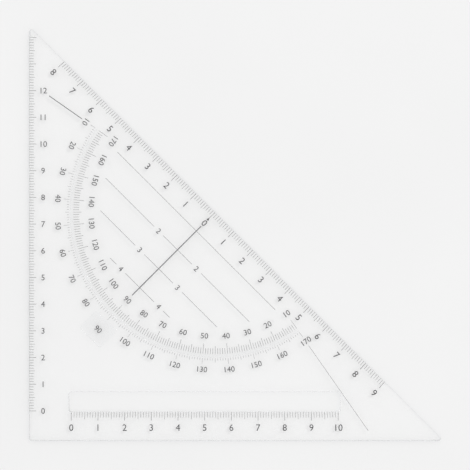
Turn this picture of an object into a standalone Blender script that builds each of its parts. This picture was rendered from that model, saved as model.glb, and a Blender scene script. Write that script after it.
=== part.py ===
"""Clear 45 degree set square with a protractor on its hypotenuse and a ruled window.

The plate rests on its underside with the printed face up. Its outline is laid out from the
right-angled corner, x along the bottom leg and y up the left leg. The left edge's scale has a
layout turned so that x runs up the edge and minus y runs into the plate. The protractor is laid
out from its centre, which is the zero of the hypotenuse scale: x runs along the hypotenuse
towards the right tip, and minus y runs into the plate. The layouts stand where they make the
middle of the object's box, on the surface it rests on, the origin.
"""

from math import atan2, cos, pi, radians, sin, sqrt, tan

import bmesh
import bpy
from mathutils import Vector

MM = 0.001

# Plate
HYPOTENUSE = 220.0 * MM             # sharp tip to sharp tip
LEG = HYPOTENUSE / sqrt(2)          # right-angled corner to sharp tip, along either leg
THICKNESS = 2.0 * MM
CORNER_RADIUS = 1.0 * MM
TIP_RADIUS = 0.8 * MM
BEVEL_WIDTH = 2.5 * MM              # ruling bevel on the hypotenuse and on the window's sill
BEVEL_LAND = 0.8 * MM               # height of the edge left under a ruling bevel
CORNER_STEPS = 4                    # segments in a rounded corner
WELD = 0.001 * MM                   # points nearer than this are one point

# Window above the bottom leg, its sill ruled in centimetres
WINDOW_LEFT = 14.9 * MM
WINDOW_LENGTH = 101.9 * MM
WINDOW_SILL = 10.9 * MM
WINDOW_HEIGHT = 7.5 * MM
WINDOW_RADIUS = 0.8 * MM

# Protractor
CENTRE_FROM_LEFT = 69.8 * MM
FIRST_DEGREE, LAST_DEGREE = 10, 170
CHANNEL_INNER, CHANNEL_OUTER = 53.6 * MM, 54.4 * MM
CHANNEL_DEPTH = 0.4 * MM
RECESS_WIDTH, RECESS_LENGTH = 11.0 * MM, 9.0 * MM
RECESS_DISTANCE = 62.1 * MM         # protractor centre to the middle of the recess
RECESS_RADIUS = 1.2 * MM
RECESS_DEPTH = 0.4 * MM

# Ink
INK_THICKNESS = 0.10 * MM
INK_GAP = 0.03 * MM                 # plate to ink, so that the two stay separate solids
EDGE_MARGIN = 0.25 * MM             # ruled edge to the start of its ticks
BASELINE = 0.25 * MM                # width of the line that joins a scale's ticks
TICK_WIDTH = 0.25 * MM
TICK_STEP = 5.0 * MM
LONG_TICK, SHORT_TICK = 3.2 * MM, 2.7 * MM          # ends of the ticks, from the ruled edge
LEFT_LONG_TICK, LEFT_SHORT_TICK = 2.7 * MM, 2.2 * MM
HYPOTENUSE_STEPS = (-16, 18)        # first and last tick, in steps from zero
LEFT_STEPS = (0, 28)
LEFT_ZERO = 11.3 * MM               # bottom edge to the left scale's zero
WINDOW_STEPS = (0, 20)
WINDOW_ZERO = 15.85 * MM            # left edge to the window scale's zero

DEGREE_STEP = 5
ARC_STEPS = 64                      # segments in a protractor arc
INNER_SCALE, INNER_LONG, INNER_SHORT = 53.2 * MM, 49.3 * MM, 50.2 * MM
OUTER_SCALE, OUTER_LONG, OUTER_SHORT = 54.8 * MM, 57.0 * MM, 56.2 * MM

AXIS_WIDTH = 0.30 * MM
AXIS_START, AXIS_END = 7.4 * MM, 44.0 * MM
GUIDE_WIDTH = 0.11 * MM
GUIDE_SPACING = 10.0 * MM
GUIDE_REACH = 43.0 * MM             # radius at which every guide line ends
LABEL_AT, LABEL_HALF = 10.0 * MM, 2.4 * MM          # gap left for a guide line's number
AXIS_CLEARANCE = 0.1 * MM
# Each ray's angle, the radii that it runs between, and its width
RAYS = {"ten_degree_line": (10, 61.0 * MM, 100.0 * MM, 0.11 * MM),
        "one_seventy_degree_line": (170, 61.0 * MM, 76.0 * MM, 0.26 * MM)}

# A tip's rounding draws the box in from the sharp tip.
BOX = LEG - TIP_RADIUS * (1 / tan(pi / 8) - 1)
SLOPE = atan2(THICKNESS - BEVEL_LAND, BEVEL_WIDTH)
CORNER = Vector((-BOX / 2, -BOX / 2, 0))
CENTRE = CORNER + Vector((CENTRE_FROM_LEFT, LEG - CENTRE_FROM_LEFT, 0))
HYPOTENUSE_TURN = -pi / 4
CUT = 5.0 * MM                      # how far a cutter stands clear of the plate
BEVEL_CUT = 4 * BEVEL_WIDTH         # depth of a bevel's cutter, half of it outside the edge


def new_collection(name):
    collection = bpy.data.collections.new(name)
    bpy.context.scene.collection.children.link(collection)
    return collection


def clear_scene():
    for obj in list(bpy.data.objects):
        bpy.data.objects.remove(obj, do_unlink=True)


def principled(name, colour, roughness, transmission=0.0, ior=1.5):
    material = bpy.data.materials.new(name)
    material.use_nodes = True
    material.diffuse_color = (*colour, 1.0)
    shader = material.node_tree.nodes["Principled BSDF"]
    shader.inputs["Base Color"].default_value = (*colour, 1.0)
    shader.inputs["Roughness"].default_value = roughness
    shader.inputs["Metallic"].default_value = 0.0
    shader.inputs["Transmission Weight"].default_value = transmission
    shader.inputs["IOR"].default_value = ior
    return material


def arc(centre, radius, start, end, steps):
    """Points on an arc from one angle to another, both ends included."""
    angles = [start + (end - start) * i / steps for i in range(steps + 1)]
    return [(centre[0] + radius * cos(a), centre[1] + radius * sin(a)) for a in angles]


def rounded(corners, radii):
    """An outline through counterclockwise corners, each rounded to its own radius."""
    points = []
    for i, corner in enumerate(corners):
        corner = Vector(corner)
        before = (Vector(corners[i - 1]) - corner).normalized()
        after = (Vector(corners[(i + 1) % len(corners)]) - corner).normalized()
        half = before.angle(after) / 2
        middle = corner + (before + after).normalized() * radii[i] / sin(half)
        start = atan2(before.x, -before.y)
        points += arc(middle, radii[i], start, start + pi - 2 * half, CORNER_STEPS)
    return points


def rectangle(left, bottom, width, height):
    return [(left, bottom), (left + width, bottom),
            (left + width, bottom + height), (left, bottom + height)]


def prism(name, outlines, bottom, top, collection):
    """A flat-bottomed solid: the first outline filled, with the others as holes in it."""
    curve = bpy.data.curves.new(name, "CURVE")
    curve.dimensions = "2D"
    curve.fill_mode = "BOTH"
    curve.extrude = (top - bottom) / 2
    for outline in outlines:
        spline = curve.splines.new("POLY")
        spline.points.add(len(outline) - 1)
        for point, (x, y) in zip(spline.points, outline):
            point.co = (x, y, 0, 1)
        spline.use_cyclic_u = True
    guide = bpy.data.objects.new(name + "_outline", curve)
    bpy.context.scene.collection.objects.link(guide)
    evaluated = guide.evaluated_get(bpy.context.evaluated_depsgraph_get())
    mesh = bpy.data.meshes.new_from_object(evaluated)
    bpy.data.objects.remove(guide)

    solid = bmesh.new()
    solid.from_mesh(mesh)
    bmesh.ops.remove_doubles(solid, verts=solid.verts, dist=WELD)
    bmesh.ops.recalc_face_normals(solid, faces=solid.faces)
    bmesh.ops.translate(solid, verts=solid.verts, vec=(0, 0, (top + bottom) / 2))
    solid.to_mesh(mesh)
    solid.free()
    mesh.name = name
    obj = bpy.data.objects.new(name, mesh)
    collection.objects.link(obj)
    return obj


def layout(name, place, turn=0.0):
    """An empty that carries one layout's pieces."""
    empty = bpy.data.objects.new(name, None)
    empty.location = place
    empty.rotation_euler = (0, 0, turn)
    bpy.context.scene.collection.objects.link(empty)
    return empty


def make_cutter(obj, parent):
    obj.parent = parent
    obj.hide_render = True
    obj.display_type = "WIRE"
    return obj


def bevel_cutter(name, length, parent, edge, cutters):
    """A slab whose underside is the bevel. edge is the middle of the ruled edge."""
    mesh = bpy.data.meshes.new(name)
    slab = bmesh.new()
    bmesh.ops.create_cube(slab, size=1.0)
    bmesh.ops.translate(slab, verts=slab.verts, vec=(0, 0, 0.5))
    bmesh.ops.scale(slab, verts=slab.verts, vec=(length, BEVEL_CUT, CUT))
    slab.to_mesh(mesh)
    slab.free()
    obj = bpy.data.objects.new(name, mesh)
    obj.location = (*edge, BEVEL_LAND)
    obj.rotation_euler = (-SLOPE, 0, 0)
    cutters.objects.link(obj)
    return make_cutter(obj, parent)


def cut_plate(plate, tools):
    for tool in tools:
        boolean = plate.modifiers.new(tool.name, "BOOLEAN")
        boolean.operation = "DIFFERENCE"
        boolean.solver = "EXACT"
        boolean.object = tool


def make_plate(corner, centre, parts, cutters):
    outline = rounded([(0, 0), (LEG, 0), (0, LEG)], [CORNER_RADIUS, TIP_RADIUS, TIP_RADIUS])
    window = rectangle(WINDOW_LEFT, WINDOW_SILL, WINDOW_LENGTH, WINDOW_HEIGHT)
    window = rounded(window, [WINDOW_RADIUS] * 4)
    plate = prism("clear_plate", [outline, window], 0, THICKNESS, parts)
    plate.parent = corner

    past_the_tips = 2 * LEG
    long_bevel = bevel_cutter("hypotenuse_bevel", past_the_tips, centre, (0, 0), cutters)
    sill_middle = (WINDOW_LEFT + WINDOW_LENGTH / 2, WINDOW_SILL)
    sill_length = WINDOW_LENGTH - 2 * WINDOW_RADIUS
    sill_bevel = bevel_cutter("sill_bevel", sill_length, corner, sill_middle, cutters)

    start, end = radians(-FIRST_DEGREE), radians(-LAST_DEGREE)
    ring = arc((0, 0), CHANNEL_OUTER, start, end, ARC_STEPS)
    ring += arc((0, 0), CHANNEL_INNER, end, start, ARC_STEPS)
    channel = prism("ring_channel", [ring], THICKNESS - CHANNEL_DEPTH, THICKNESS + CUT, cutters)
    make_cutter(channel, centre)

    pocket = rectangle(-RECESS_WIDTH / 2, -RECESS_DISTANCE - RECESS_LENGTH / 2,
                       RECESS_WIDTH, RECESS_LENGTH)
    pocket = rounded(pocket, [RECESS_RADIUS] * 4)
    recess = prism("recess", [pocket], THICKNESS - RECESS_DEPTH, THICKNESS + CUT, cutters)
    make_cutter(recess, centre)
    cut_plate(plate, [long_bevel, sill_bevel, channel, recess])


def print_on(obj, parent, bevelled=None, edge=0.0):
    """Lay ink on the plate. bevelled is the layout of a bevelled edge that it runs over, and
    edge is that edge's y there."""
    obj.parent = parent
    if bevelled is None:
        return
    foot = edge - BEVEL_WIDTH
    there = bevelled.matrix_basis.inverted() @ parent.matrix_basis
    ink = bmesh.new()
    ink.from_mesh(obj.data)
    ink.transform(there)
    geometry = ink.verts[:] + ink.edges[:] + ink.faces[:]
    bmesh.ops.bisect_plane(ink, geom=geometry, dist=WELD,
                           plane_co=(0, foot, 0), plane_no=(0, 1, 0))
    for vert in ink.verts:
        vert.co.z -= max(0.0, vert.co.y - foot) * tan(SLOPE)
    bmesh.ops.triangulate(ink, faces=ink.faces)
    ink.transform(there.inverted())
    ink.to_mesh(obj.data)
    ink.free()


def ink_prism(name, outline, parts):
    bottom = THICKNESS + INK_GAP
    return prism(name, [outline], bottom, bottom + INK_THICKNESS, parts)


def comb(steps, zero, edge, long_tick, short_tick):
    """A straight scale: ticks that hang from a baseline along a ruled edge at y = edge."""
    half = TICK_WIDTH / 2
    top = edge - EDGE_MARGIN
    base = top - BASELINE
    points = [(zero + steps[1] * TICK_STEP + half, top), (zero + steps[0] * TICK_STEP - half, top)]
    for i in range(steps[0], steps[1] + 1):
        x = zero + i * TICK_STEP
        reach = edge - (long_tick if i % 2 == 0 else short_tick)
        inner = [(x - half, base), (x - half, reach), (x + half, reach), (x + half, base)]
        if i == steps[0]:
            inner = inner[1:]
        if i == steps[1]:
            inner = inner[:-1]
        points += inner
    return points


def degree_comb(scale, baseline, long_reach, short_reach):
    """A degree scale: ticks on a baseline arc, towards the centre or away from it."""
    def polar(radius, degrees, offset=0.0):
        turn = radians(-degrees)
        return (radius * cos(turn) + offset * sin(turn), radius * sin(turn) - offset * cos(turn))

    half = TICK_WIDTH / 2
    near = scale + baseline
    ticks = []
    for degrees in range(FIRST_DEGREE, LAST_DEGREE + 1, DEGREE_STEP):
        reach = long_reach if degrees % 10 == 0 else short_reach
        tick = [polar(near, degrees, -half), polar(reach, degrees, -half),
                polar(reach, degrees, half), polar(near, degrees, half)]
        ticks += tick
        if degrees < LAST_DEGREE:
            ticks.append(polar(near, degrees + DEGREE_STEP / 2))
    # The baseline's plain side stops where the end ticks do.
    overrun = half / scale
    back = arc((0, 0), scale, radians(-LAST_DEGREE) - overrun, radians(-FIRST_DEGREE) + overrun,
               ARC_STEPS)
    return ticks[1:-1] + back


def make_scales(corner, left_edge, centre, parts):
    outline = comb(HYPOTENUSE_STEPS, 0, 0, LONG_TICK, SHORT_TICK)
    print_on(ink_prism("hypotenuse_scale", outline, parts), centre, centre)

    outline = comb(WINDOW_STEPS, WINDOW_ZERO, WINDOW_SILL, LONG_TICK, SHORT_TICK)
    print_on(ink_prism("window_scale", outline, parts), corner, corner, WINDOW_SILL)

    outline = comb(LEFT_STEPS, LEFT_ZERO, 0, LEFT_LONG_TICK, LEFT_SHORT_TICK)
    print_on(ink_prism("left_leg_scale", outline, parts), left_edge, centre)

    outline = degree_comb(INNER_SCALE, -BASELINE, INNER_LONG, INNER_SHORT)
    print_on(ink_prism("inner_degree_scale", outline, parts), centre)
    outline = degree_comb(OUTER_SCALE, BASELINE, OUTER_LONG, OUTER_SHORT)
    print_on(ink_prism("outer_degree_scale", outline, parts), centre)


def guide_spans(depth):
    """The stretches of one guide line, right of the axis: it breaks at the axis and its number."""
    start = AXIS_WIDTH / 2 + AXIS_CLEARANCE
    end = sqrt(GUIDE_REACH ** 2 - depth ** 2)
    if depth == GUIDE_SPACING:
        return {"": (start, end)}
    return {"_inner": (start, LABEL_AT - LABEL_HALF), "_outer": (LABEL_AT + LABEL_HALF, end)}


def make_lines(centre, parts):
    outline = rectangle(-AXIS_WIDTH / 2, -AXIS_END, AXIS_WIDTH, AXIS_END - AXIS_START)
    print_on(ink_prism("right_angle_line", outline, parts), centre)

    for row in range(1, 5):
        depth = row * GUIDE_SPACING
        bottom = -depth - GUIDE_WIDTH / 2
        for suffix, (start, end) in guide_spans(depth).items():
            for side, left in (("right", start), ("left", -end)):
                name = f"guide_line_{row}cm_{side}{suffix}"
                outline = rectangle(left, bottom, end - start, GUIDE_WIDTH)
                print_on(ink_prism(name, outline, parts), centre)

    for name, (degrees, start, end, width) in RAYS.items():
        ray = ink_prism(name, rectangle(start, -width / 2, end - start, width), parts)
        ray.rotation_euler = (0, 0, radians(-degrees))
        print_on(ray, centre)


def paint(parts):
    clear = principled("clear_plastic", colour=(0.93, 0.95, 0.96), roughness=0.05,
                       transmission=1.0, ior=1.49)
    ink = principled("grey_ink", colour=(0.07, 0.07, 0.08), roughness=0.55)
    for obj in parts.objects:
        obj.data.materials.clear()
        obj.data.materials.append(clear if obj.name == "clear_plate" else ink)


def main():
    clear_scene()
    parts = new_collection("set_square")
    cutters = new_collection("cutters")
    corner = layout("corner_layout", CORNER)
    left_edge = layout("left_edge_layout", CORNER, pi / 2)
    centre = layout("protractor_layout", CENTRE, HYPOTENUSE_TURN)
    make_plate(corner, centre, parts, cutters)
    make_scales(corner, left_edge, centre, parts)
    make_lines(centre, parts)
    paint(parts)


main()
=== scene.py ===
"""Looks of the clear 45 degree set square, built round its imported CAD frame.

Everything is laid out from the plate's right-angled corner, x along the bottom leg and y up the
left leg, and stands where the frame's plate is. The left edge's scale and the protractor have
layouts of their own: in both, x runs along the ruled edge and minus y runs into the plate.
"""

from math import asin, atan2, cos, pi, radians, sin, sqrt, tan

import bmesh
import bpy
from mathutils import Matrix, Vector
from mathutils.geometry import tessellate_polygon


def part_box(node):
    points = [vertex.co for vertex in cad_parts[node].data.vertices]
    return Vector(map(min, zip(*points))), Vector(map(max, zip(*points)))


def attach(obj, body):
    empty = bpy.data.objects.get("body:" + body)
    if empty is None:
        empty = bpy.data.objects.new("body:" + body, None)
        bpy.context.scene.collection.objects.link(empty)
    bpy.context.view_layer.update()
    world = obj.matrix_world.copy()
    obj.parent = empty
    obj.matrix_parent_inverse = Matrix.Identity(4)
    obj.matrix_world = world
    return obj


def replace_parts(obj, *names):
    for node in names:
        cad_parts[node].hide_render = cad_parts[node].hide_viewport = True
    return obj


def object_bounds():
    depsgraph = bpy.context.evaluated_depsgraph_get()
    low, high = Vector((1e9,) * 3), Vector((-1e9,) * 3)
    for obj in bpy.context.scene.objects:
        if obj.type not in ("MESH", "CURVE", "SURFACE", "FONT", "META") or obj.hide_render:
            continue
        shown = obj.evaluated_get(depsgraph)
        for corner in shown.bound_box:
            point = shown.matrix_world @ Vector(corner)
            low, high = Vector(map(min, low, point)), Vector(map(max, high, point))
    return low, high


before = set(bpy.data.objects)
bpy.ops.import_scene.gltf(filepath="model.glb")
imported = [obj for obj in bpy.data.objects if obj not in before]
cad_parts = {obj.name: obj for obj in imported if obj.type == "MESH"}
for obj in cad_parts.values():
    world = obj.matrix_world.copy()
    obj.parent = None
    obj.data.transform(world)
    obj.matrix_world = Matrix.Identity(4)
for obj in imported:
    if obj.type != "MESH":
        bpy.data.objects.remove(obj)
cad_low, cad_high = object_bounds()

MM = 0.001
CENTIMETRE = 10 * MM
TICKS_TO_A_NUMBER = 10

# Plate
LEG = 220.0 * MM / sqrt(2)
CORNER_RADIUS = 1.0 * MM
TIP_RADIUS = 0.8 * MM
BEVEL_WIDTH = 2.5 * MM
BEVEL_LAND = 0.8 * MM
WELD = 0.0005 * MM                  # points nearer than this are one point
EDGE_ROUNDING = 0.18 * MM           # on the outline
WINDOW_ROUNDING = 0.06 * MM
ROUNDING_STEPS = 4
CORNER_STEPS = 10

# Window above the bottom leg
WINDOW_LEFT, WINDOW_LENGTH = 14.9 * MM, 101.9 * MM
WINDOW_SILL, WINDOW_HEIGHT = 10.9 * MM, 7.5 * MM
WINDOW_RADIUS = 0.8 * MM
SILL_RUN_OUT = 0.8 * MM             # length over which the sill's bevel fades out at its ends
ABOVE_SILL = 0.01 * MM              # a point up to this far past the sill is still on its bevel

# Protractor
CENTRE_FROM_LEFT = 69.8 * MM
FIRST_DEGREE, LAST_DEGREE = 10, 170
CHANNEL_INNER, CHANNEL_OUTER = 53.6 * MM, 54.4 * MM
CHANNEL_DEPTH = 0.4 * MM
CHANNEL_STEPS = 160
RECESS_WIDTH, RECESS_LENGTH = 11.0 * MM, 9.0 * MM
RECESS_DISTANCE = 62.1 * MM
RECESS_RADIUS = 1.2 * MM
RECESS_DEPTH = 0.4 * MM
GROOVE_ROUNDING = 0.10 * MM

# Print
INK_THICKNESS = 0.03 * MM
INK_GAP = 0.005 * MM
EDGE_MARGIN = 0.15 * MM
FINE_LINE, TEN_LINE = 0.10 * MM, 0.13 * MM          # widths of the ticks
LINE_ENDS = (2.1 * MM, 2.7 * MM, 3.2 * MM)          # 1 mm, 5 mm and 10 mm ticks, from the edge
LEFT_LINE_ENDS = (1.8 * MM, 2.2 * MM, 2.7 * MM)
HYPOTENUSE_TICKS = (-80, 90)
LEFT_TICKS = (0, 140)
LAST_LEFT_NUMBER = 12
LEFT_ZERO = 11.3 * MM
WINDOW_TICKS = (0, 100)
WINDOW_ZERO = 15.85 * MM
INNER_SCALE, INNER_ENDS = 53.2 * MM, (51.0 * MM, 50.2 * MM, 49.3 * MM)
OUTER_SCALE, OUTER_ENDS = 54.8 * MM, (55.6 * MM, 56.2 * MM, 57.0 * MM)
INNER_LINE, OUTER_LINE = 0.10 * MM, 0.08 * MM
NUMERAL = 2.4 * MM                  # height of a figure
LEFT_NUMERAL = 2.1 * MM
SMALL_NUMERAL = 2.0 * MM
HYPOTENUSE_ROW = 5.75 * MM           # ruled edge to the middle of its numbers
LEFT_ROW = 5.3 * MM
WINDOW_ROW = 5.85 * MM
INNER_ROW, OUTER_ROW = 46.5 * MM, 59.1 * MM
RECESS_ROW = 62.1 * MM
ZERO_MARK_ENDS = (3.1 * MM, 4.2 * MM)               # tip and foot, from the edge
ZERO_MARK_WIDTHS = (0.1 * MM, 1.0 * MM)             # at the tip and at the foot
GUIDE_NUMBERS = (2, 3, 4)
LABEL_AT = 10.0 * MM                # right angle line to the numbers of the guide lines

# Finishes of the clear plastic, in the order of the plate's material slots. The plastic is
# colourless; a tint below white is painted shade.
FINISHES = (
    {"name": "clear_face", "painted_shade_tint": (1.0, 1.0, 1.0), "shade": (1.0, 1.0, 1.0),
     "roughness": (0.02, 0.07), "waviness": 0.1},
    # The rim, edge and groove finishes are tinted darker than the face: painted shade for the dark
    # lines along the plate's walls and the dimmer groove floors.
    {"name": "clear_rim", "painted_shade_tint": (0.90, 0.905, 0.91), "shade": (0.87, 0.875, 0.88),
     "roughness": (0.10, 0.22), "waviness": 0.3},
    {"name": "clear_edge", "painted_shade_tint": (0.97, 0.975, 0.98), "shade": (0.94, 0.945, 0.95),
     "roughness": (0.08, 0.18), "waviness": 0.3},
    {"name": "clear_groove", "painted_shade_tint": (0.97, 0.975, 0.98), "shade": (0.95, 0.95, 0.95),
     "roughness": (0.08, 0.18), "waviness": 0.3},
)
SCUFF_DIRECTIONS = ((0.5, 16.0), (2.2, 22.0))       # turn, and how far the scuffs are drawn out
SCUFF_LEVEL, SCUFF_WIDTH = 0.62, 0.012              # where in the noise a scuff lies
SCUFF_ROUGHNESS = 0.10                              # that a scuff adds
INK_THIN, INK_THICK = (0.085, 0.085, 0.09), (0.03, 0.03, 0.033)
FLOOR_DARK, FLOOR_LIGHT = (0.80, 0.80, 0.80), (0.82, 0.82, 0.82)

# Studio
INNER_BOUNCES = 32                  # that light may make inside the clear plate
FLOOR_SIZE = 3.0
FLOOR_GAP = 0.05 * MM               # under the plate
SKY_STRENGTH = 0.92
KEY_PLACE = (1.35, 1.35, 2.85)
KEY_SIZE, KEY_POWER = 1.35, 26.5
LENS, SENSOR_WIDTH = 100.0, 36.0
VIEW_SHARE = 1.14                   # width of the view, over the width of the object

PLATE_LOW, PLATE_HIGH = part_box("clear_plate")
THICKNESS = PLATE_HIGH.z - PLATE_LOW.z
SLOPE = atan2(THICKNESS - BEVEL_LAND, BEVEL_WIDTH)
CENTRE = Vector((CENTRE_FROM_LEFT, LEG - CENTRE_FROM_LEFT, 0))

LEFT_LAYOUT = Matrix.Translation((0, LEFT_ZERO, 0)) @ Matrix.Rotation(pi / 2, 4, "Z")
PROTRACTOR_LAYOUT = Matrix.Translation(CENTRE) @ Matrix.Rotation(-pi / 4, 4, "Z")
SILL_LAYOUT = Matrix.Translation((WINDOW_ZERO, WINDOW_SILL, 0))


# ---------------------------------------------------------------- shape of the printed face

def top_height(x, y):
    """Height of the printed face, with its two ruling bevels."""
    drop = max(0.0, BEVEL_WIDTH - (LEG - x - y) / sqrt(2))
    if y < WINDOW_SILL + ABOVE_SILL:
        inside = min(x - WINDOW_LEFT, WINDOW_LEFT + WINDOW_LENGTH - x) - WINDOW_RADIUS
        share = min(1.0, max(0.0, inside / SILL_RUN_OUT))
        drop += share * max(0.0, BEVEL_WIDTH - WINDOW_SILL + min(y, WINDOW_SILL))
    return THICKNESS - drop * tan(SLOPE)


def arc(centre, radius, start, end, steps):
    angles = [start + (end - start) * i / steps for i in range(steps + 1)]
    return [(centre[0] + radius * cos(a), centre[1] + radius * sin(a)) for a in angles]


def rounded(corners, radii):
    """An outline through counterclockwise corners, each rounded to its own radius."""
    points = []
    for i, corner in enumerate(corners):
        corner = Vector(corner)
        before = (Vector(corners[i - 1]) - corner).normalized()
        after = (Vector(corners[(i + 1) % len(corners)]) - corner).normalized()
        half = before.angle(after) / 2
        middle = corner + (before + after).normalized() * radii[i] / sin(half)
        start = atan2(before.x, -before.y)
        points += arc(middle, radii[i], start, start + pi - 2 * half, CORNER_STEPS)
    return points


def rounded_box(left, bottom, width, height, radius):
    corners = [(left, bottom), (left + width, bottom),
               (left + width, bottom + height), (left, bottom + height)]
    return rounded(corners, [radius] * 4)


def placed(points, place):
    return [(place @ Vector((x, y, 0))).to_2d() for x, y in points]


# Each outline takes how far it is moved into the plate's material.
def plate_outline(inset):
    far = LEG - inset * (1 + sqrt(2))
    return rounded([(inset, inset), (far, inset), (inset, far)],
                   [CORNER_RADIUS - inset, TIP_RADIUS - inset, TIP_RADIUS - inset])


def window_outline(inset):
    return rounded_box(WINDOW_LEFT - inset, WINDOW_SILL - inset, WINDOW_LENGTH + 2 * inset,
                       WINDOW_HEIGHT + 2 * inset, WINDOW_RADIUS + inset)


def channel_outline(inset):
    inner, outer = CHANNEL_INNER - inset, CHANNEL_OUTER + inset
    ends = []
    for radius in (outer, inner):
        spread = asin(inset / radius)
        ends.append((radians(-FIRST_DEGREE) + spread, radians(-LAST_DEGREE) - spread))
    points = arc((0, 0), outer, ends[0][1], ends[0][0], CHANNEL_STEPS)
    points += arc((0, 0), inner, ends[1][0], ends[1][1], CHANNEL_STEPS)
    return placed(points, PROTRACTOR_LAYOUT)


def recess_outline(inset):
    points = rounded_box(-RECESS_WIDTH / 2 - inset, -RECESS_DISTANCE - RECESS_LENGTH / 2 - inset,
                         RECESS_WIDTH + 2 * inset, RECESS_LENGTH + 2 * inset, RECESS_RADIUS + inset)
    return placed(points, PROTRACTOR_LAYOUT)


def quarter(radius):
    """A rounded edge from its wall to its face, as (distance in from the wall, distance down
    from the face)."""
    turns = [pi / 2 * i / ROUNDING_STEPS for i in range(ROUNDING_STEPS + 1)]
    return [(radius * (1 - cos(a)), radius * (1 - sin(a))) for a in turns]


# The plate's material slots
FACE, RIM, EDGE, GROOVE = range(4)


def skin(plate, outline, profile, slot, hard):
    """Walls through an outline's rings. The rings in hard keep a crease."""
    rings = [[plate.verts.new((x, y, height)) for x, y in outline(inset)]
             for inset, height in profile]
    for i in range(len(rings) - 1):
        low, high = rings[i], rings[i + 1]
        for j in range(len(low)):
            k = (j + 1) % len(low)
            face = plate.faces.new((low[j], low[k], high[k], high[j]))
            face.material_index = slot
            face.smooth = True
    for i in hard:
        for j in range(len(rings[i])):
            plate.edges.get((rings[i][j - 1], rings[i][j])).smooth = False
    return rings


def fill(plate, loops, slot):
    verts = [vert for loop in loops for vert in loop]
    for triangle in tessellate_polygon([[vert.co for vert in loop] for loop in loops]):
        face = plate.faces.new([verts[i] for i in triangle])
        face.material_index = slot


def wall(radius):
    """The profile of a wall through the plate, rounded at both faces."""
    edge = quarter(radius)
    return ([(inset, down) for inset, down in reversed(edge)]
            + [(inset, THICKNESS - down) for inset, down in edge])


def groove_side(depth):
    """The profile of a groove's side, with a rounded foot and brim."""
    groove = quarter(GROOVE_ROUNDING)
    return ([(-inset, THICKNESS - depth + down) for inset, down in reversed(groove)]
            + [(inset, THICKNESS - down) for inset, down in groove])


def make_plate():
    plate = bmesh.new()
    hard = (ROUNDING_STEPS, ROUNDING_STEPS + 1)
    outer = skin(plate, plate_outline, wall(EDGE_ROUNDING), RIM, hard)
    window = skin(plate, window_outline, wall(WINDOW_ROUNDING), EDGE, hard)

    sunk = {}
    for outline, depth in ((channel_outline, CHANNEL_DEPTH), (recess_outline, RECESS_DEPTH)):
        rings = skin(plate, outline, groove_side(depth), EDGE, hard)
        fill(plate, [rings[0]], GROOVE)
        sunk[outline] = rings[-1]

    fill(plate, [outer[0], window[0]], FACE)
    fill(plate, [outer[-1], window[-1], *sunk.values()], FACE)

    # Creases where the bevels start, and at the ends of the sill's bevel.
    cuts = [((LEG - BEVEL_WIDTH * sqrt(2), 0, 0), (1, 1, 0)),
            ((0, WINDOW_SILL - BEVEL_WIDTH, 0), (0, 1, 0))]
    for end, way in ((WINDOW_LEFT, 1), (WINDOW_LEFT + WINDOW_LENGTH, -1)):
        for distance in (WINDOW_RADIUS, WINDOW_RADIUS + SILL_RUN_OUT):
            cuts.append(((end + way * distance, 0, 0), (1, 0, 0)))
    for point, normal in cuts:
        everything = plate.verts[:] + plate.edges[:] + plate.faces[:]
        bmesh.ops.bisect_plane(plate, geom=everything, dist=WELD,
                               plane_co=point, plane_no=normal)
    for vert in plate.verts:
        if vert.co.z > THICKNESS / 2:
            vert.co.z += top_height(vert.co.x, vert.co.y) - THICKNESS
    flat = [face for face in plate.faces if not face.smooth]
    bmesh.ops.triangulate(plate, faces=[face for face in flat if len(face.verts) > 3])
    bmesh.ops.recalc_face_normals(plate, faces=plate.faces)
    return plate


# ---------------------------------------------------------------- print

def folds(start, end):
    """How far along a line on the plate, as shares of it, the face bends."""
    feet = []
    for depth in (lambda p: (LEG - p.x - p.y) / sqrt(2), lambda p: WINDOW_SILL - p.y):
        near, far = depth(start) - BEVEL_WIDTH, depth(end) - BEVEL_WIDTH
        if near * far < 0:
            feet.append(near / (near - far))
    return sorted(feet)


def bar(ink, place, start, end, width, end_width=None):
    """A printed line in a layout, which may widen towards its end."""
    start, end = Vector(start), Vector(end)
    along = (end - start).normalized()
    across = Vector((-along.y, along.x)) / 2
    end_width = width if end_width is None else end_width
    sections = []
    for share in (0, *folds(place @ start.to_3d(), place @ end.to_3d()), 1):
        middle = start.lerp(end, share)
        side = across * (width + share * (end_width - width))
        section = []
        for point, lift in ((middle - side, 0), (middle + side, 0),
                            (middle + side, INK_THICKNESS), (middle - side, INK_THICKNESS)):
            at = place @ point.to_3d()
            height = top_height(at.x, at.y) + INK_GAP + lift
            section.append(ink.verts.new((at.x, at.y, height)))
        sections.append(section)
    for low, high in zip(sections, sections[1:]):
        for i in range(4):
            ink.faces.new((low[i - 1], low[i], high[i], high[i - 1]))
    ink.faces.new(sections[0])
    ink.faces.new(reversed(sections[-1]))


def figure_shapes():
    """The ten figures, one unit tall and centred in their cell, and the width of a cell."""
    text = bpy.data.curves.new("figure", "FONT")
    text.align_x = "CENTER"
    text.resolution_u = 3
    probe = bpy.data.objects.new("figure", text)
    bpy.context.scene.collection.objects.link(probe)

    def shape(body):
        text.body = body
        evaluated = probe.evaluated_get(bpy.context.evaluated_depsgraph_get())
        mesh = bpy.data.meshes.new_from_object(evaluated)
        points = [vert.co.to_2d() for vert in mesh.vertices]
        faces = [tuple(face.vertices) for face in mesh.polygons]
        bpy.data.meshes.remove(mesh)
        return points, faces

    def width(body):
        xs = [point.x for point in shape(body)[0]]
        return max(xs) - min(xs)

    heights = [point.y for point in shape("1")[0]]
    low, tall = min(heights), max(heights) - min(heights)
    figures = {}
    for figure in "0123456789":
        points, faces = shape(figure)
        figures[figure] = ([Vector((p.x, p.y - low - tall / 2)) / tall for p in points], faces)
    cell = (width("88") - width("8")) / tall
    bpy.data.objects.remove(probe)
    return figures, cell


FIGURES, CELL = figure_shapes()


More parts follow.
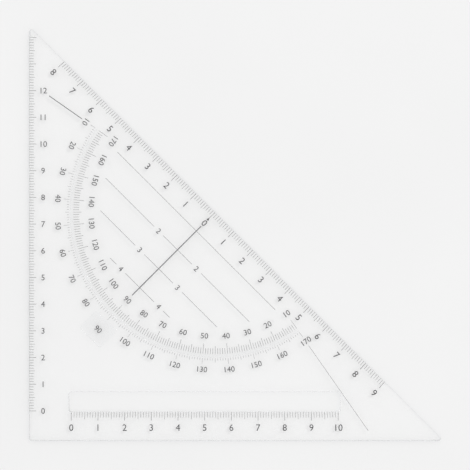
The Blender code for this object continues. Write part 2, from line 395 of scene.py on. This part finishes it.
def number(ink, text, place, height, sunk=0.0):
    """Print a number centred on a layout's origin."""
    for i, figure in enumerate(str(text)):
        shift = (i - (len(str(text)) - 1) / 2) * CELL
        points, faces = FIGURES[figure]
        flat = bmesh.new()
        verts = []
        for point in points:
            at = place @ Vector(((point.x + shift) * height, point.y * height, 0))
            verts.append(flat.verts.new((at.x, at.y, top_height(at.x, at.y) - sunk + INK_GAP)))
        for face in faces:
            flat.faces.new([verts[j] for j in face])
        bmesh.ops.remove_doubles(flat, verts=flat.verts, dist=WELD)
        raised = bmesh.ops.extrude_face_region(flat, geom=flat.faces[:])
        lifted = [item for item in raised["geom"] if isinstance(item, bmesh.types.BMVert)]
        bmesh.ops.translate(flat, verts=lifted, vec=(0, 0, INK_THICKNESS))
        part = bpy.data.meshes.new("figure")
        flat.to_mesh(part)
        flat.free()
        ink.from_mesh(part)
        bpy.data.meshes.remove(part)


def weight(i):
    """0 for a fine tick, 1 for every fifth and 2 for every tenth."""
    return 2 if i % 10 == 0 else 1 if i % 5 == 0 else 0


def straight_scale(place, ticks, ends):
    ink = bmesh.new()
    for i in range(ticks[0], ticks[1] + 1):
        width = TEN_LINE if weight(i) == 2 else FINE_LINE
        bar(ink, place, (i * MM, -EDGE_MARGIN), (i * MM, -ends[weight(i)]), width)
    return ink


def hypotenuse_scale():
    ink = straight_scale(PROTRACTOR_LAYOUT, HYPOTENUSE_TICKS, LINE_ENDS)
    tip, foot = ZERO_MARK_ENDS
    bar(ink, PROTRACTOR_LAYOUT, (0, -tip), (0, -foot), *ZERO_MARK_WIDTHS)
    return ink


def ray(degrees):
    """A layout at the protractor's centre, with its x along one of its angles."""
    return PROTRACTOR_LAYOUT @ Matrix.Rotation(radians(-degrees), 4, "Z")


def at_angle(degrees, radius):
    """A layout out on the protractor, with its y pointing at the centre."""
    return ray(degrees) @ Matrix.Translation((radius, 0, 0)) @ Matrix.Rotation(pi / 2, 4, "Z")


def degree_scale(scale, ends, width):
    ink = bmesh.new()
    for degrees in range(FIRST_DEGREE, LAST_DEGREE + 1):
        bar(ink, ray(degrees), (scale, 0), (ends[weight(degrees)], 0), width)
    return ink


# ---------------------------------------------------------------- materials

class Nodes:
    """A material's node tree, a line to a node."""

    def __init__(self, name):
        self.material = bpy.data.materials.new(name)
        self.material.use_nodes = True
        self.tree = self.material.node_tree
        self.tree.nodes.clear()
        self.output = self.tree.nodes.new("ShaderNodeOutputMaterial")

    def add(self, kind, settings=None, **inputs):
        """A node with its inputs set or linked. An input is named as its socket is, with _ for a
        space, or n and the socket's place in the node's list."""
        node = self.tree.nodes.new("ShaderNode" + kind)
        for name, value in (settings or {}).items():
            setattr(node, name, value)
        for name, value in inputs.items():
            by_place = name[0] == "n" and name[1:].isdigit()
            socket = node.inputs[int(name[1:]) if by_place else name.replace("_", " ")]
            if isinstance(value, bpy.types.NodeSocket):
                self.tree.links.new(value, socket)
            else:
                socket.default_value = value
        return node

    def ramp(self, factor, low, high, start, end):
        """low where factor is at most start, high where it is at least end."""
        return self.add("MapRange", Value=factor, n1=start, n2=end, n3=low, n4=high).outputs[0]

    def finish(self, shader):
        self.tree.links.new(shader.outputs[0], self.output.inputs["Surface"])
        return self.material


def clear_plastic(name, painted_shade_tint, shade, roughness, waviness):
    """Clear plastic with handling wear, whose roughness is a range and whose tint is painted shade
    where it is below white. Lamps reach through it, dimmed by shade at each face."""
    m = Nodes(name)
    where = m.add("TexCoord").outputs["Object"]
    cloud = m.add("TexNoise", Vector=where, Scale=90.0, Detail=4.0, Roughness=0.6).outputs[0]
    # Hairline scuffs: thin bands of a noise drawn out along two directions.
    scuffs = None
    for turn, stretch in SCUFF_DIRECTIONS:
        spun = m.add("Mapping", Vector=where, Rotation=(0, 0, turn), Scale=(1.0, stretch, 1.0))
        streak = m.add("TexNoise", Vector=spun.outputs[0], Scale=110.0, Detail=2.0).outputs[0]
        near = m.add("Math", {"operation": "SUBTRACT"}, n0=streak, n1=SCUFF_LEVEL)
        line = m.ramp(m.add("Math", {"operation": "ABSOLUTE"}, n0=near.outputs[0]).outputs[0],
                      1.0, 0.0, 0.0, SCUFF_WIDTH)
        scuffs = line if scuffs is None else m.add(
            "Math", {"operation": "MAXIMUM"}, n0=scuffs, n1=line).outputs[0]
    worn = m.ramp(cloud, *roughness, 0.35, 0.75)
    rough = m.add("Math", {"operation": "MULTIPLY_ADD", "use_clamp": True},
                  n0=scuffs, n1=SCUFF_ROUGHNESS, n2=worn).outputs[0]
    swell = m.add("TexNoise", Vector=where, Scale=35.0, Detail=1.0).outputs[0]
    bump = m.add("Bump", Strength=waviness, Distance=0.02 * MM, Height=swell)
    # The tint as base colour darkens what is seen through the walls and groove floors: painted
    # shade.
    body = m.add("BsdfPrincipled", Roughness=rough, Normal=bump.outputs[0],
                 **{"Base_Color": (*painted_shade_tint, 1.0), "Transmission_Weight": 1.0, "IOR": 1.49})
    clear = m.add("BsdfTransparent", Color=(*shade, 1.0))
    path = m.add("LightPath")
    diffuse = m.add("MixShader", n0=path.outputs["Is Diffuse Ray"],
                    n1=body.outputs[0], n2=clear.outputs[0])
    lamp = m.add("MixShader", n0=path.outputs["Is Shadow Ray"],
                 n1=diffuse.outputs[0], n2=clear.outputs[0])
    return m.finish(lamp)


def printing_ink(name, thin, thick):
    """Screen-printed ink: a slightly uneven dark grey film with a dull sheen."""
    m = Nodes(name)
    where = m.add("TexCoord").outputs["Object"]
    grain = m.add("TexNoise", Vector=where, Scale=2600.0, Detail=3.0, Roughness=0.6).outputs[0]
    patch = m.add("TexNoise", Vector=where, Scale=140.0, Detail=2.0).outputs[0]
    both = m.add("Math", {"operation": "MULTIPLY_ADD"}, n0=grain, n1=0.5, n2=patch).outputs[0]
    share = m.ramp(both, 0.0, 1.0, 0.55, 0.95)
    colour = m.add("Mix", {"data_type": "RGBA"}, n0=share, n6=(*thick, 1.0), n7=(*thin, 1.0))
    rough = m.ramp(grain, 0.38, 0.62, 0.3, 0.7)
    bump = m.add("Bump", Strength=0.25, Distance=0.01 * MM, Height=grain)
    body = m.add("BsdfPrincipled", Roughness=rough, Normal=bump.outputs[0],
                 **{"Base_Color": colour.outputs[2], "IOR": 1.5})
    return m.finish(body)


def pale_floor():
    m = Nodes("pale_floor")
    where = m.add("TexCoord").outputs["Object"]
    cloud = m.add("TexNoise", Vector=where, Scale=9.0, Detail=3.0).outputs[0]
    colour = m.add("Mix", {"data_type": "RGBA"}, n0=m.ramp(cloud, 0.0, 1.0, 0.3, 0.7),
                   n6=(*FLOOR_DARK, 1.0), n7=(*FLOOR_LIGHT, 1.0))
    body = m.add("BsdfPrincipled", Roughness=0.7, **{"Base_Color": colour.outputs[2],
                                                    "Specular_IOR_Level": 0.2})
    return m.finish(body)


# ---------------------------------------------------------------- pieces

def piece(name, shape, materials):
    mesh = bpy.data.meshes.new(name)
    bmesh.ops.recalc_face_normals(shape, faces=shape.faces)
    shape.to_mesh(mesh)
    shape.free()
    obj = bpy.data.objects.new(name, mesh)
    obj.location = PLATE_LOW
    bpy.context.scene.collection.objects.link(obj)
    for material in materials:
        mesh.materials.append(material)
    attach(obj, "root")
    return obj


def row_of_numbers(layout, first, last, offset):
    """Centimetre numbers along a layout's x, offset from it into the plate."""
    ink = bmesh.new()
    for i in range(first, last + 1):
        number(ink, abs(i), layout @ Matrix.Translation((i * CENTIMETRE, -offset, 0)), NUMERAL)
    return ink


def left_leg_numbers():
    """Centimetre numbers up the left leg, each upright."""
    ink = bmesh.new()
    for i in range(LAST_LEFT_NUMBER + 1):
        place = Matrix.Translation((LEFT_ROW, LEFT_ZERO + i * CENTIMETRE, 0))
        number(ink, i, place, LEFT_NUMERAL)
    return ink


def degree_numbers():
    """The numbers of the inner and of the outer degree scale."""
    inner, outer = bmesh.new(), bmesh.new()
    for degrees in range(FIRST_DEGREE, LAST_DEGREE + 1, TICKS_TO_A_NUMBER):
        number(inner, degrees, at_angle(degrees, INNER_ROW), SMALL_NUMERAL)
        if degrees == 90:
            number(outer, 90, at_angle(90, RECESS_ROW), SMALL_NUMERAL, RECESS_DEPTH)
        else:
            number(outer, 180 - degrees, at_angle(degrees, OUTER_ROW), SMALL_NUMERAL)
    return inner, outer


def guide_line_numbers():
    ink = bmesh.new()
    for i in GUIDE_NUMBERS:
        for side in (-1, 1):
            place = PROTRACTOR_LAYOUT @ Matrix.Translation((side * LABEL_AT, -i * CENTIMETRE, 0))
            number(ink, i, place, SMALL_NUMERAL)
    return ink


def make_numbers(ink_material):
    first, last = (tick // TICKS_TO_A_NUMBER for tick in HYPOTENUSE_TICKS)
    inner, outer = degree_numbers()
    groups = {
        "hypotenuse_numbers": row_of_numbers(PROTRACTOR_LAYOUT, first, last, HYPOTENUSE_ROW),
        "left_leg_numbers": left_leg_numbers(),
        "window_numbers": row_of_numbers(SILL_LAYOUT, 0, WINDOW_TICKS[1] // TICKS_TO_A_NUMBER,
                                         WINDOW_ROW),
        "inner_degree_numbers": inner,
        "outer_degree_numbers": outer,
        "guide_line_numbers": guide_line_numbers(),
    }
    for name, shape in groups.items():
        piece(name, shape, [ink_material])


def make_object():
    clear = [clear_plastic(**finish) for finish in FINISHES]
    plate = piece("plate", make_plate(), clear)
    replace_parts(plate, "clear_plate")

    dark = printing_ink("dark_print", INK_THIN, INK_THICK)
    scales = {
        "hypotenuse_scale": hypotenuse_scale(),
        "window_scale": straight_scale(SILL_LAYOUT, WINDOW_TICKS, LINE_ENDS),
        "left_leg_scale": straight_scale(LEFT_LAYOUT, LEFT_TICKS, LEFT_LINE_ENDS),
        "inner_degree_scale": degree_scale(INNER_SCALE, INNER_ENDS, INNER_LINE),
        "outer_degree_scale": degree_scale(OUTER_SCALE, OUTER_ENDS, OUTER_LINE),
    }
    for node, shape in scales.items():
        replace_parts(piece(node + "_ticks", shape, [dark]), node)
    make_numbers(dark)

    lines = set(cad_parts) - {"clear_plate"} - set(scales)
    for node in sorted(lines):
        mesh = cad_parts[node].data
        mesh.materials.clear()
        mesh.materials.append(dark)


def soft_lamp(name, place, size, power):
    """A round lamp that points at the origin."""
    lamp = bpy.data.lights.new(name, "AREA")
    lamp.shape = "DISK"
    lamp.size = size
    lamp.energy = power
    obj = bpy.data.objects.new(name, lamp)
    obj.location = place
    obj.rotation_euler = (-Vector(place)).to_track_quat("-Z", "Y").to_euler()
    bpy.context.scene.collection.objects.link(obj)


def make_studio():
    mesh = bpy.data.meshes.new("floor")
    floor_shape = bmesh.new()
    bmesh.ops.create_grid(floor_shape, x_segments=1, y_segments=1, size=FLOOR_SIZE)
    floor_shape.to_mesh(mesh)
    floor_shape.free()
    mesh.materials.append(pale_floor())
    floor = bpy.data.objects.new("floor", mesh)
    floor.location = (0, 0, PLATE_LOW.z - FLOOR_GAP)
    bpy.context.scene.collection.objects.link(floor)

    world = bpy.data.worlds.new("studio")
    world.use_nodes = True
    background = world.node_tree.nodes["Background"]
    background.inputs["Color"].default_value = (1.0, 1.0, 1.0, 1.0)
    background.inputs["Strength"].default_value = SKY_STRENGTH
    bpy.context.scene.world = world
    soft_lamp("key", KEY_PLACE, KEY_SIZE, KEY_POWER)


def make_camera():
    lens = bpy.data.cameras.new("camera")
    lens.lens = LENS
    lens.sensor_width = SENSOR_WIDTH
    width = (cad_high.x - cad_low.x) * VIEW_SHARE
    distance = width / 2 / (lens.sensor_width / 2 / lens.lens)
    camera = bpy.data.objects.new("camera", lens)
    middle = (cad_low + cad_high) / 2
    camera.location = (middle.x, middle.y, cad_high.z + distance)
    lens.clip_start, lens.clip_end = 0.01, 20.0
    bpy.context.scene.collection.objects.link(camera)
    bpy.context.scene.camera = camera
    bpy.context.scene.view_settings.view_transform = "Standard"


make_object()
make_studio()
make_camera()

# Light that runs inside the clear plate bounces many times before it leaves. With the usual
# limits the plate's edges turn black.
for kind in ("max_bounces", "glossy_bounces", "transmission_bounces"):
    setattr(bpy.context.scene.cycles, kind, INNER_BOUNCES)

bpy.context.view_layer.update()
